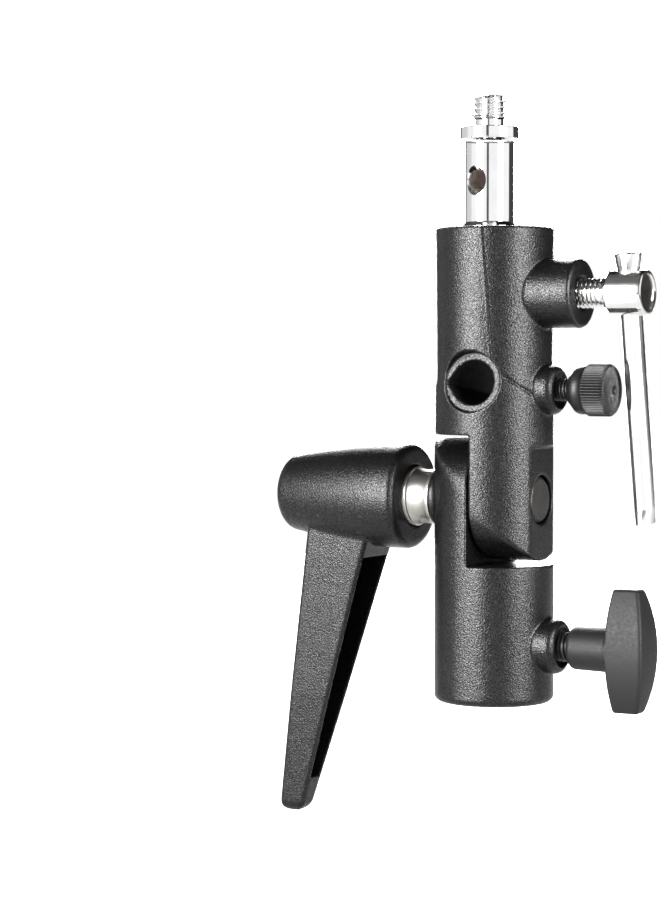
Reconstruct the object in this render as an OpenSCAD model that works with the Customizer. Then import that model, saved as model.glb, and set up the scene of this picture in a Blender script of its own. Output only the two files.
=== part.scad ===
// Umbrella swivel bracket for a studio light stand, in millimetres.
// +Z is up and +X runs along the tilt axis, towards the three screw knobs.
// The origin is the centre of the stand socket's mouth, on the bottom face.

/* [General] */
// Piece to draw

/* [Lower body] */
// Outer diameter of the lower body
lower_d = 32.7; // [32.3:0.1:33.1]
// Height of the ledge under the tongue
ledge_z = 37.8; // [36.5:0.1:38.2]
// Height of the tilt axis above the socket's mouth
pivot_z = 55.5; // [55.3:0.1:56.5]
// Radius of the stand socket, for a 16 mm stand spigot
stand_bore_r = 8.1; // [8.05:0.05:8.4]
// Depth of the stand socket
stand_bore_depth = 33; // [28:1:34]
// Height of the wing screw above the mouth
wing_z = 15.9; // [15:0.1:17]
// How far the wing screw's boss reaches from the body's axis
wing_boss_x = 20.8; // [19:0.1:20.9]

/* [Upper body] */
// Outer diameter of the upper body at its top
upper_d = 32.1; // [31.9:0.1:32.5]
// Height of the upper body's top face
top_z = 129.2; // [127:0.1:131]
// Radius of the spigot socket in the top
top_bore_r = 8.05; // [8.03:0.01:8.2]
// Height of the floor of the spigot socket
top_bore_floor_z = 97; // [96.5:0.1:97]
// Offset of the spigot's axis from the body's axis
spigot_x = -1.7; // [-1.8:0.1:-1]
// Height of the T-screw
t_z = 111.2; // [110:0.1:112]
// Height of the thumb screw
thumb_z = 85.3; // [85:0.1:85.6]

/* [Umbrella hole] */
// Radius of the umbrella hole
umbrella_r = 6; // [5.5:0.1:6]
// Height of the hole's middle
umbrella_z = 85.5; // [85.3:0.1:85.7]
// Tilt of the hole, its front end up, in degrees
umbrella_tilt = 8; // [6:1:9]
// Distance from the hole's axis to the tip of its V groove
umbrella_groove = 6.85; // [6.5:0.05:7.2]

/* [T-screw] */
// Angle that the T-bar hangs at, from straight down, in degrees
t_bar_angle = 10.2; // [0:0.1:15]
// Length of the T-bar above the screw's axis
t_bar_above = 10.9; // [10.5:0.1:12]
// Length of the T-bar below the screw's axis
t_bar_below = 62.9; // [50:0.1:64]

/* [Lever] */
// Radius of the lever's hub
hub_r = 14.65; // [14:0.05:15]
// Length of the lever's blade below the tilt axis
blade_length = 91.7; // [88:0.1:94]

/* [Hidden] */

$fn = 96;
run_gap = 0.05;            // radial play of a screw in its thread and of a pin in its bore
eps = 0.01;                // lets a cut run past the face that it opens
casting = [0.10, 0.10, 0.11];
plastic = [0.16, 0.16, 0.17];
chrome = [0.86, 0.86, 0.88];
steel = [0.55, 0.54, 0.52];
dark_steel = [0.22, 0.21, 0.20];
brass = [0.72, 0.58, 0.30];

// Joint between the two bodies: the disc fills it but for its play on each face
disc_half = 0.35;
disc_x = -0.3;
face_play = 0.02;
cheek_x = disc_x - disc_half - face_play;
tongue_x = disc_x + disc_half + face_play;
disc_r = 14.9;
round_end_r = 16.6;        // both bodies end in a round about the tilt axis
pad_x = -16.5;             // face of the round pad under the clamp nut
pad_r = 8;
bolt_r = 4;                // M8
bolt_bore_r = 4.1;
bolt_end_x = -30;
head_r = 6.1;
head_x = 14;
head_seat_x = 9.2;
counterbore_r = 6.75;
neck = 8.4;                // side of the bolt's square neck
neck_x = 4.5;

// Upper body
shoulder_z = 73.1;         // underside of the upper body over the cheek
step_z = 87;               // the body narrows above this height
step_r = 16.15;
waist_z = 89;
waist_r = 15.72;
flat_x = 14.4;             // flat on the tongue around the bolt's head
flat_z = pivot_z + 14.4;
spot_r = 8.2;              // spot faces round the umbrella hole's mouths
spot_reach = 13.3;
t_boss_r = 9.35;
t_boss_x = 26.1;
thumb_boss_r = 6.75;
thumb_boss_x = 20;
wing_boss_r = 7.45;

// Screws: M8 for the T-screw and the wing screw, M6 for the thumb screw
m8_r = 4;
m8_pitch = 1.25;
m6_r = 3;
m6_pitch = 1;
t_pad_x = spigot_x + 7.95 + run_gap;
t_head_x = 34;
t_head_end_x = 45;
t_head_r = 6.15;
t_bar_x = 39.8;
t_bar_r = 3;
t_bar_flare = 4.4;         // length of each swaged end
wing_stem_x = 23.5;
wing_back_x = 35.2;
wing_face_x = 46.2;
wing_half = 16.6;
wing_thick = 12.2;
thumb_knob_x = 23.8;
thumb_rim_x = 27.8;
thumb_end_x = 34.8;

// Clamp nut and lever, along -X from the pad
washer_thick = 1;
washer_r = 6.6;
nut_x = pad_x - 2 * face_play;
hub_x = -24.3;
hub_end_x = -64.5;
collar_r = 8.3;
collar_end_x = -27.3;
spline_x = -27.6;
m5_r = 2.5;
spline_length = 3.8;
spline_teeth = 24;
spline_root = 7.1;
spline_tip = 7.8;
spline_play = 0.06;
sleeve_r = 6;
sleeve_end_x = -40;
web_x = -41;               // web in the lever that the spring pushes on
web_end_x = -43.5;
spring_r = 4.9;
spring_wire_r = 0.55;
spring_turns = 6;
retainer_x = -57.5;
recess_r = 6.5;

// Spigot, heights from the mouth of the stand socket
spigot_r = 7.95;
spigot_foot_z = 97.05;
stud_r = 3.175;            // 1/4"-20 stud below
stud_pitch = 1.27;
camera_stud_r = 4.7625;    // 3/8"-16 stud on top
camera_stud_pitch = 1.5875;
undercut_r = 6.6;
flange_z = 153.7;
flange_thick = 3.2;
stud_z = 159;
spigot_top_z = 165;
cross_z = 142;
cross_r = 2.9;
cross_turn = -11;          // the cross hole's heading, from straight forward

// Children stand on the X axis at x, height z, and grow towards +X
module along_x(x, z) {
    translate([x, 0, z])
        rotate([0, 90, 0])
            children();
}

// A shape turned about the X axis from points [distance along +X, radius]
module turned_x(points, x, z) {
    along_x(x, z)
        rotate_extrude()
            polygon([for (p = points) [p[1], p[0]]]);
}

function arc_points(cx, cy, r, from, to, steps = 6) =
    [for (i = [0:steps]) let (a = from + (to - from) * i / steps) [cx + r * cos(a), cy + r * sin(a)]];

// Outline of a ring-grooved rod, [along, radius]: crests at r from end to end, grooves as deep as the thread
function thread_points(r, pitch, from, to) =
    let (turns = floor((to - from) / pitch), depth = 0.6134 * pitch)
    concat(
        [for (i = [0:turns - 1]) let (s = from + i * pitch)
            each [[s, r], [s + 0.3 * pitch, r], [s + 0.55 * pitch, r - depth], [s + 0.75 * pitch, r - depth]]],
        [[from + turns * pitch, r], [to, r]]);

// Round boss along +X whose lip is rounded, with a countersunk mouth left to the bore
module boss(r, x, z, lip) {
    turned_x(concat([[0, 0], [0, r]], arc_points(x - lip, r - lip, lip, 90, 0), [[x, 0]]), 0, z);
}

module bore_x(r, from, to, z) {
    along_x(from, z)
        cylinder(r = r, h = to - from);
}

module countersink_x(r, x, z, depth) {
    along_x(x - depth, z)
        cylinder(r1 = r, r2 = r + depth, h = depth + eps);
}

// ---------------------------------------------------------------- lower body

module round_ended_cheek(from, to) {
    along_x(from, pivot_z)
        linear_extrude(height = to - from)
            union() {
                circle(r = round_end_r);
                translate([0, -round_end_r])
                    square([pivot_z - ledge_z + 2, 2 * round_end_r]);
            }
}

module lower_shape() {
    edge = 2;
    r = lower_d / 2;
    rotate_extrude()
        polygon(concat([[0, 0]], arc_points(r - edge, edge, edge, -90, 0), [[r, ledge_z], [0, ledge_z]]));
    intersection() {
        translate([0, 0, ledge_z - 2])
            cylinder(r = r, h = 60);
        round_ended_cheek(-20, cheek_x);
    }
    along_x(pad_x, pivot_z)
        cylinder(r = pad_r, h = 8);
    boss(wing_boss_r, wing_boss_x, wing_z, 2.2);
}

module lower_body() {
    mouth = 0.8;
    color(casting)
        difference() {
            lower_shape();
            translate([0, 0, -eps])
                cylinder(r = stand_bore_r, h = stand_bore_depth + eps);
            translate([0, 0, -eps])
                cylinder(r1 = stand_bore_r + mouth, r2 = stand_bore_r, h = mouth);
            bore_x(bolt_bore_r, pad_x - 1, 1, pivot_z);
            bore_x(m8_r + run_gap, 5, wing_boss_x + 1, wing_z);
            countersink_x(m8_r + run_gap, wing_boss_x, wing_z, 1.2);
        }
}

// Steel friction disc between the cheek and the tongue, with a serrated rim
module friction_disc() {
    teeth = 60;
    tooth = 0.35;
    color(steel)
        along_x(disc_x - disc_half, pivot_z)
            linear_extrude(height = 2 * disc_half)
                difference() {
                    polygon([for (i = [0:2 * teeth - 1])
                        let (a = 180 * i / teeth, r = disc_r - tooth * (i % 2))
                            [r * cos(a), r * sin(a)]]);
                    circle(r = bolt_bore_r);
                }
}

module seat_washer() {
    color(steel)
        along_x(pad_x - face_play - washer_thick, pivot_z)
            difference() {
                cylinder(r = washer_r, h = washer_thick);
                translate([0, 0, -eps])
                    cylinder(r = bolt_r + 0.25, h = washer_thick + 2 * eps);
            }
}

// ------------------------------------------------------- clamp nut and lever

// Star outline of a spline: root and tip radii, with the teeth a share of the pitch wide
module spline_outline(root, tip, teeth, share) {
    pitch = 360 / teeth;
    polygon([for (i = [0:teeth - 1]) let (a = i * pitch)
        each [
            [root * cos(a - 0.75 * share * pitch), root * sin(a - 0.75 * share * pitch)],
            [tip * cos(a - 0.4 * share * pitch), tip * sin(a - 0.4 * share * pitch)],
            [tip * cos(a + 0.4 * share * pitch), tip * sin(a + 0.4 * share * pitch)],
            [root * cos(a + 0.75 * share * pitch), root * sin(a + 0.75 * share * pitch)]
        ]]);
}

module clamp_nut() {
    waist_x = -19.4;
    waist_r = 7.45;
    color(chrome)
        difference() {
            union() {
                turned_x([[spline_x, 0], [spline_x, spline_root], [collar_end_x, spline_root],
                    [collar_end_x, collar_r], [hub_x - 0.5, collar_r], [waist_x - 1.5, waist_r + 0.15],
                    [waist_x, waist_r], [nut_x - 0.6, pad_r - 0.3], [nut_x, pad_r - 0.5], [nut_x, 0]],
                    0, pivot_z);
                along_x(spline_x - spline_length, pivot_z)
                    linear_extrude(height = spline_length)
                        spline_outline(spline_root, spline_tip, spline_teeth, 0.5);
                along_x(sleeve_end_x, pivot_z)
                    cylinder(r = sleeve_r, h = spline_x - sleeve_end_x);
            }
            bore_x(bolt_r + run_gap, bolt_end_x - 1, nut_x + 1, pivot_z);
            bore_x(washer_r + run_gap, pad_x - washer_thick - 2 * face_play, nut_x + 1, pivot_z);
            bore_x(m5_r + run_gap, sleeve_end_x - 1, bolt_end_x, pivot_z);
        }
}

module retaining_screw() {
    color(steel)
        turned_x([[retainer_x - 4, 0], [retainer_x - 4, 4.2], [retainer_x - 3.6, 4.6], [retainer_x - 1, 4.6],
            [retainer_x - 1, 3.4], [sleeve_end_x - face_play, 3.4], [sleeve_end_x - face_play, m5_r],
            [bolt_end_x - 2.5, m5_r], [bolt_end_x - 2, m5_r - 0.5], [bolt_end_x - 2, 0]], 0, pivot_z);
}

module retaining_washer() {
    color(steel)
        along_x(retainer_x - 1 + face_play, pivot_z)
            difference() {
                cylinder(r = 5.9, h = 1 - 2 * face_play);
                translate([0, 0, -eps])
                    cylinder(r = 3.5, h = 1);
            }
}

// Compression spring: a ring of points carried along a helix about the tilt axis
module lever_spring() {
    steps = 16;
    sides = 8;
    length = web_end_x - retainer_x - 2 * spring_wire_r - 2 * face_play;
    rings = spring_turns * steps;
    function ring_point(i, j) =
        let (turn = 360 * i / steps, tube = 360 * j / sides, r = spring_r + spring_wire_r * cos(tube))
        [r * cos(turn), r * sin(turn), length * i / rings + spring_wire_r * sin(tube)];
    points = [for (i = [0:rings]) for (j = [0:sides - 1]) ring_point(i, j)];
    walls = [for (i = [0:rings - 1]) for (j = [0:sides - 1])
        [i * sides + j, i * sides + (j + 1) % sides, (i + 1) * sides + (j + 1) % sides, (i + 1) * sides + j]];
    ends = [[for (j = [0:sides - 1]) sides - 1 - j], [for (j = [0:sides - 1]) rings * sides + j]];
    color(steel)
        along_x(retainer_x + spring_wire_r + face_play, pivot_z)
            polyhedron(points = points,
                faces = [for (f = concat(walls, ends)) [for (k = [len(f) - 1:-1:0]) f[k]]]);
}

// Side outline of the lever's blade, seen from the front and slid in from its outer edge by inset
module blade_side(inset, from, to, end_r) {
    outer_slope = 0.154;   // both edges run along -X by this much for each mm down
    inner_slope = 0.304;
    outer_x = -53.05 + inset;
    inner_x = -31.8;
    rotate([90, 0, 0])
        linear_extrude(height = 40, center = true)
            polygon(concat([[inner_x - inner_slope * from, -from], [outer_x - outer_slope * from, -from],
                [outer_x - outer_slope * (to - end_r), end_r - to]],
                arc_points(outer_x - outer_slope * to + 1.15 * end_r, end_r - to, end_r, 180, 270),
                [[inner_x - inner_slope * to - end_r / 2, -to],
                    [inner_x - inner_slope * (to - end_r), end_r - to]]));
}

// Front outline of the blade, narrowed by wall on both sides
module blade_front(wall, from, to) {
    half_widths = [[0, 9], [17.5, 8.2], [57, 5.85], [83, 3.7], [92, 2.7]];
    downs = concat([from], [for (h = half_widths) if (h[0] > from && h[0] < to) h[0]], [to]);
    outline = [for (d = downs) [lookup(d, half_widths) - wall, -d]];
    rotate([90, 0, 90])
        linear_extrude(height = 80, center = true)
            polygon(concat(outline, [for (i = [len(outline) - 1:-1:0]) [-outline[i][0], outline[i][1]]]));
}

module blade(inset, wall, from, to, end_r) {
    translate([0, 0, pivot_z])
        intersection() {
            blade_side(inset, from, to, end_r);
            translate([-50, 0, 0])
                blade_front(wall, from, to);
        }
}

// Hollow between the blade's side walls, open towards the bodies and stopped short of the hub
module lever_pocket() {
    outer_wall = 2.8;
    side_wall = 1.2;
    difference() {
        for (shift = [0, 5])
            translate([shift, 0, 0])
                blade(outer_wall, side_wall, 17, 79, 0.5);
        bore_x(hub_r + 1, hub_end_x, 0, pivot_z);
    }
}

module lever_handle() {
    barrel_x = -31;        // the hub tapers from here out to its end
    barrel = barrel_x - hub_end_x - 3;
    hub_small_r = 10.8;
    hub_taper = hub_r - hub_small_r;
    color(casting)
        difference() {
            union() {
                turned_x(concat([[hub_end_x, 0]], arc_points(hub_end_x + 3, hub_small_r - 3, 3, 180, 90),
                    [for (i = [7:-1:1]) [barrel_x - i * barrel / 8, hub_r - hub_taper * pow(i / 8, 1.6)]],
                    [[barrel_x, hub_r]], arc_points(hub_x - 2, hub_r - 2, 2, 90, 0), [[hub_x, 0]]),
                    0, pivot_z);
                blade(0, 0, 0, blade_length, 3.4);
            }
            lever_pocket();
            bore_x(collar_r + 0.3, collar_end_x - 0.1, hub_x + 1, pivot_z);
            bore_x(spline_tip + 0.3, spline_x, collar_end_x, pivot_z);
            along_x(spline_x - spline_length - 0.1, pivot_z)
                linear_extrude(height = spline_length + 0.2)
                    spline_outline(spline_root + spline_play, spline_tip + spline_play, spline_teeth, 0.56);
            bore_x(sleeve_r + run_gap, web_x, spline_x - spline_length, pivot_z);
            bore_x(3.4 + run_gap, web_end_x - 1, web_x + 1, pivot_z);
            bore_x(recess_r, hub_end_x - 1, web_end_x, pivot_z);
        }
}

// ---------------------------------------------------------------- upper body

module upper_shape() {
    edge = 0.7;
    r = upper_d / 2;
    difference() {
        intersection() {
            rotate_extrude()
                polygon(concat([[0, 38], [step_r, 38], [step_r, step_z], [waist_r, waist_z]],
                    arc_points(r - edge, top_z - edge, edge, 0, 90), [[0, top_z]]));
            union() {
                translate([-20, -20, pivot_z])
                    cube([40, 40, top_z]);
                along_x(-20, pivot_z)
                    cylinder(r = round_end_r, h = 40);
            }
        }
        translate([tongue_x - 30, -20, 0])
            cube([30, 40, shoulder_z]);
        translate([flat_x, -20, 0])
            cube([10, 40, flat_z]);
    }
    turned_x([[0, 0], [0, t_boss_r], [t_boss_x - 1, t_boss_r], [t_boss_x, t_boss_r - 1], [t_boss_x, 0]],
        0, t_z);
    boss(thumb_boss_r, thumb_boss_x, thumb_z, 2.6);
}

// Everything cut for the umbrella shaft: hole, V groove and the spot faces round the mouths
module umbrella_cut() {
    translate([0, 0, umbrella_z])
        rotate([90 - umbrella_tilt, 0, 0]) {
            cylinder(r = umbrella_r, h = 60, center = true);
            linear_extrude(height = 60, center = true)
                polygon([[-umbrella_groove, 0], [-umbrella_groove + 2.5, 2.5], [-umbrella_groove + 2.5, -2.5]]);
            for (side = [0, 1])
                mirror([0, 0, side])
                    translate([0, 0, spot_reach])
                        cylinder(r = spot_r, h = 10);
        }
}

module upper_body() {
    color(casting)
        difference() {
            upper_shape();
            translate([spigot_x, 0, top_bore_floor_z])
                cylinder(r = top_bore_r, h = 60);
            umbrella_cut();
            bore_x(m8_r + run_gap, 4, t_boss_x + 1, t_z);
            bore_x(m6_r + run_gap, 3, thumb_boss_x + 1, thumb_z);
            countersink_x(m6_r + run_gap, thumb_boss_x, thumb_z, 1);
            bore_x(bolt_bore_r, tongue_x - 1, 12, pivot_z);
            bore_x(counterbore_r, head_seat_x - face_play, 20, pivot_z);
            translate([neck_x, -neck / 2 - run_gap, pivot_z - neck / 2 - run_gap])
                cube([head_seat_x - neck_x, neck + 2 * run_gap, neck + 2 * run_gap]);
        }
}

module pivot_bolt() {
    edge = 0.6;
    color(dark_steel) {
        turned_x([[bolt_end_x, 0], [bolt_end_x, bolt_r - 0.6], [bolt_end_x + 0.6, bolt_r], [head_seat_x, bolt_r],
            [head_seat_x, head_r], [head_x - edge, head_r], [head_x, head_r - edge], [head_x, 0]], 0, pivot_z);
        translate([neck_x + face_play, -neck / 2, pivot_z - neck / 2])
            cube([head_seat_x - neck_x, neck, neck]);
    }
}

// ---------------------------------------------------------------- spigot

module spigot_profile() {
    foot_z = spigot_foot_z;
    barrel_z = foot_z + 13;
    foot_neck_z = barrel_z - 2;
    polygon(concat(
        [[0, foot_z]],
        [for (p = thread_points(stud_r, stud_pitch, foot_z, foot_neck_z)) [p[1], p[0]]],
        [[stud_r - 0.7, foot_neck_z], [stud_r - 0.7, barrel_z], [spigot_r - 0.6, barrel_z],
            [spigot_r, barrel_z + 0.6], [spigot_r, 129.8], [undercut_r, 131.2], [undercut_r, 152.5],
            [8 - 0.4, flange_z], [8, flange_z + 0.4], [8, flange_z + flange_thick - 0.5],
            [8 - 0.5, flange_z + flange_thick], [3.85, flange_z + flange_thick], [3.85, stud_z]],
        [for (p = thread_points(camera_stud_r, camera_stud_pitch, stud_z, spigot_top_z - 0.8)) [p[1], p[0]]],
        [[camera_stud_r - 0.6, spigot_top_z], [0, spigot_top_z]]));
}

module spigot() {
    sink = 1.1;
    color(chrome)
        translate([spigot_x, 0, 0])
            difference() {
                rotate_extrude()
                    spigot_profile();
                translate([0, 0, cross_z])
                    rotate([90, 0, cross_turn]) {
                        cylinder(r = cross_r, h = 30, center = true);
                        for (side = [0, 1])
                            mirror([0, 0, side])
                                translate([0, 0, undercut_r - sink])
                                    cylinder(r1 = cross_r, r2 = cross_r + 2 * sink, h = 2 * sink);
                    }
            }
}

// ---------------------------------------------------------------- screws

// Pad at a screw's tip, with the stem that it turns on; front at x, back shoulder at back_x
module tip_pad(r, stem_r, x, back_x, z) {
    stem = 1.8;
    color(brass)
        turned_x([[x, 0], [x, r - 0.4], [x + 0.4, r], [back_x, r], [back_x, stem_r], [back_x + stem, stem_r],
            [back_x + stem, 0]], 0, z);
}

module tip_bore(stem_r, back_x, z) {
    bore_x(stem_r + run_gap, back_x - 1, back_x + 2.2, z);
}

t_back_x = t_pad_x + 2.2;
thumb_pad_x = 6.2;
thumb_back_x = thumb_pad_x + 1.6;
wing_pad_x = 8.3;
wing_back_pad_x = wing_pad_x + 1.8;

module t_tip() {
    tip_pad(3.2, 1.5, t_pad_x, t_back_x, t_z);
}

module thumb_tip() {
    tip_pad(2.3, 1.1, thumb_pad_x, thumb_back_x, thumb_z);
}

module wing_tip() {
    tip_pad(3.2, 1.5, wing_pad_x, wing_back_pad_x, wing_z);
}

module t_screw() {
    rim = 0.9;
    thread_from = 23;
    color(chrome)
        difference() {
            turned_x(concat([[t_back_x + face_play, 0], [t_back_x + face_play, m8_r]],
                thread_points(m8_r, m8_pitch, thread_from, t_head_x - 0.9),
                [[t_head_x, m8_r - 0.6], [t_head_x, t_head_r - rim], [t_head_x + rim, t_head_r],
                    [t_head_end_x - rim, t_head_r], [t_head_end_x, t_head_r - rim], [t_head_end_x, 0]]), 0, t_z);
            bore_x(t_head_r - 1.3, t_head_end_x - 0.6, t_head_end_x + 1, t_z);
            tip_bore(1.5, t_back_x, t_z);
            translate([t_bar_x, 0, t_z])
                rotate([t_bar_angle, 0, 0])
                    cylinder(r = t_bar_r + run_gap, h = 20, center = true);
        }
}

// Swaged end of the T-bar, standing on its tip: flared across X and pressed flatter across Y
module t_bar_end() {
    flare_r = 3.75;
    flat_half = 2.7;
    tip = 0.8;
    intersection() {
        union() {
            cylinder(r1 = flare_r - tip, r2 = flare_r, h = tip);
            translate([0, 0, tip])
                cylinder(r1 = flare_r, r2 = t_bar_r, h = t_bar_flare - tip + eps);
        }
        translate([-flare_r, -flat_half, 0])
            cube([2 * flare_r, 2 * flat_half, t_bar_flare + eps]);
    }
}

// Bar with both ends swaged: flared across and pressed flatter, the lower end a quarter turn round
module t_bar() {
    color(chrome)
        translate([t_bar_x, 0, t_z])
            rotate([t_bar_angle, 0, 0]) {
                translate([0, 0, t_bar_flare - t_bar_below])
                    cylinder(r = t_bar_r, h = t_bar_above + t_bar_below - 2 * t_bar_flare);
                for (end = [[0, -t_bar_below, 90], [1, t_bar_above, 0]])
                    translate([0, 0, end[1]])
                        rotate([0, 0, end[2]])
                            mirror([0, 0, end[0]])
                                t_bar_end();
            }
}

module thumb_screw() {
    thread_from = 18;
    end_x = 30;
    color(steel)
        difference() {
            turned_x(concat([[thumb_back_x + face_play, 0], [thumb_back_x + face_play, m6_r]],
                thread_points(m6_r, m6_pitch, thread_from, thumb_knob_x - 1),
                [[thumb_knob_x - 0.9, m6_r], [end_x, m6_r], [end_x, 0]]), 0, thumb_z);
            tip_bore(1.1, thumb_back_x, thumb_z);
        }
}

module thumb_knob() {
    ribs = 56;
    rim_r = 7;
    root_r = 6.6;
    collar = 6.5;
    color(plastic)
        difference() {
            union() {
                turned_x([[thumb_knob_x - 1, 0], [thumb_knob_x - 1, 3.4], [thumb_knob_x - 0.6, 4.2],
                    [thumb_knob_x + 0.6, 5.5], [thumb_knob_x + 1.4, 6.3], [thumb_knob_x + 2.1, collar], [thumb_rim_x + 0.5, collar],
                    [thumb_rim_x + 0.5, 0]], 0, thumb_z);
                along_x(thumb_rim_x, thumb_z)
                    linear_extrude(height = thumb_end_x - thumb_rim_x)
                        polygon([for (i = [0:2 * ribs - 1]) let (a = 180 * i / ribs, r = i % 2 == 0 ? rim_r : root_r)
                            [r * cos(a), r * sin(a)]]);
                turned_x([[thumb_end_x - 0.5, 0], [thumb_end_x - 0.5, root_r - 0.2], [thumb_end_x, root_r - 0.2],
                    [thumb_end_x + 0.35, 4.4], [thumb_end_x + 0.6, 1.2], [thumb_end_x + 0.3, 0]], 0, thumb_z);
            }
            bore_x(m6_r + run_gap, thumb_knob_x - 2, 30.1, thumb_z);
        }
}

module wing_screw() {
    thread_from = 18;
    end_x = 40;
    color(steel)
        difference() {
            turned_x(concat([[wing_back_pad_x + face_play, 0], [wing_back_pad_x + face_play, m8_r]],
                thread_points(m8_r, m8_pitch, thread_from, wing_stem_x - 0.2),
                [[wing_stem_x, m8_r], [end_x, m8_r], [end_x, 0]]), 0, wing_z);
            tip_bore(1.5, wing_back_pad_x, wing_z);
        }
}

// Wing seen from its end: a lens with truncated tips
module wing_outline() {
    bow_r = 40;
    intersection() {
        translate([0, wing_thick / 2 - bow_r])
            circle(r = bow_r, $fn = 360);
        translate([0, bow_r - wing_thick / 2])
            circle(r = bow_r, $fn = 360);
        square([2 * wing_half, wing_thick], center = true);
    }
}

module wing_knob() {
    dome_r = 52;
    back_r = 138;
    color(plastic)
        difference() {
            union() {
                turned_x(concat([[wing_stem_x, 0]], arc_points(wing_stem_x + 1.4, 4.4, 1.4, 180, 90, 4),
                    [[wing_back_x + 1, 5.9], [wing_back_x + 1, 0]]), 0, wing_z);
                intersection() {
                    along_x(wing_back_x, wing_z)
                        linear_extrude(height = wing_face_x - wing_back_x)
                            wing_outline();
                    translate([wing_back_x + back_r, 0, wing_z])
                        rotate([90, 0, 0])
                            cylinder(r = back_r, h = 20, center = true, $fn = 360);
                    translate([wing_face_x - dome_r, 0, wing_z])
                        sphere(r = dome_r, $fn = 180);
                }
            }
            bore_x(m8_r + run_gap, wing_stem_x - 1, 40.1, wing_z);
        }
}

lower_body();
friction_disc();
seat_washer();
clamp_nut();
retaining_screw();
retaining_washer();
lever_spring();
lever_handle();
upper_body();
pivot_bolt();
spigot();
t_screw();
t_tip();
t_bar();
thumb_knob();
thumb_screw();
thumb_tip();
wing_knob();
wing_screw();
wing_tip();
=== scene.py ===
"""The umbrella swivel bracket's looks: refined pieces over the CAD frame, procedural materials, studio light.

Lengths inside the shape functions are millimetres; meshes are made in metres.
"""

import math

import bpy
import numpy as np
from mathutils import Matrix, Vector


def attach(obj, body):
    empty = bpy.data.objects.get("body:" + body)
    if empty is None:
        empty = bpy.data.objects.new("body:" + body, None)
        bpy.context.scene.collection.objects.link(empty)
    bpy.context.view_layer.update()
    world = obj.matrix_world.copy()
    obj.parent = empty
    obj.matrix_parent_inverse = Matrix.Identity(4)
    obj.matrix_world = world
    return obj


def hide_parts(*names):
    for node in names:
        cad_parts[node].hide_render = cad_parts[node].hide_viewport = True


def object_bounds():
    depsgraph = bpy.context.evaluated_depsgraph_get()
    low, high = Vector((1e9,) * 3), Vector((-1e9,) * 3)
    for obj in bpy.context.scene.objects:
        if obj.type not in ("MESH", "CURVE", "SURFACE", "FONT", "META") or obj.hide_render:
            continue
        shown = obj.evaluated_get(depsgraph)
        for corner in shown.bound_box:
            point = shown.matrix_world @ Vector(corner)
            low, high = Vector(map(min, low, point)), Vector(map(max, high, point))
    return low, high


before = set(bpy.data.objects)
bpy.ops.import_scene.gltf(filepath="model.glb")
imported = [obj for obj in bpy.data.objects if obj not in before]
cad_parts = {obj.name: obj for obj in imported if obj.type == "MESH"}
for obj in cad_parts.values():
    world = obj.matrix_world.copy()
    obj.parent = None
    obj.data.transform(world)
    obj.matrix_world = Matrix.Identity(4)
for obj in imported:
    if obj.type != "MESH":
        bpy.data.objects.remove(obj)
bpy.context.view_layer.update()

MM = 0.001

# Places shared by several pieces
PIVOT_Z = 55.5
WING_Z = 15.9
THUMB_Z = 85.3
T_Z = 111.2
T_BAR_X = 39.8
T_BAR_LEAN = math.radians(10.2)
SPIGOT_X = -1.7
CROSS_Z = 142
CROSS_TURN = -11
CROSS_R = 2.9
UMBRELLA_Z = 85.5
UMBRELLA_TILT = math.radians(8)
UMBRELLA_R = 6.0
PIVOT_BORE_R = 4.1
TONGUE_R = 16.6

# The camera stands this many degrees round from straight ahead, towards the knobs
CAMERA_TURN = 26


# ------------------------------------------------------------ distance fields
# Each field takes arrays x, y, z and gives the distance outside the shape, negative inside.


def both(a, b, r=0.0):
    """Where two fields overlap, with the edge between them rounded to radius r."""
    if r == 0:
        return np.maximum(a, b)
    return np.minimum(np.maximum(a, b), -r) + np.hypot(np.maximum(a + r, 0), np.maximum(b + r, 0))


def either(a, b, r=0.0):
    """Two fields joined, with a fillet of radius r in the corner between them."""
    return -both(-a, -b, r)


def without(a, b, r=0.0):
    """Field a with b cut away, and the cut's edge rounded to radius r."""
    return both(a, -b, r)


def ramp(v, low, high):
    """0 below low, 1 above high, and smooth between."""
    t = np.clip((v - low) / (high - low), 0, 1)
    return t * t * (3 - 2 * t)


def bore(across, up, along, r, start):
    """Round hole of radius r that runs from start without end."""
    return both(np.hypot(across, up) - r, start - along)


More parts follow.
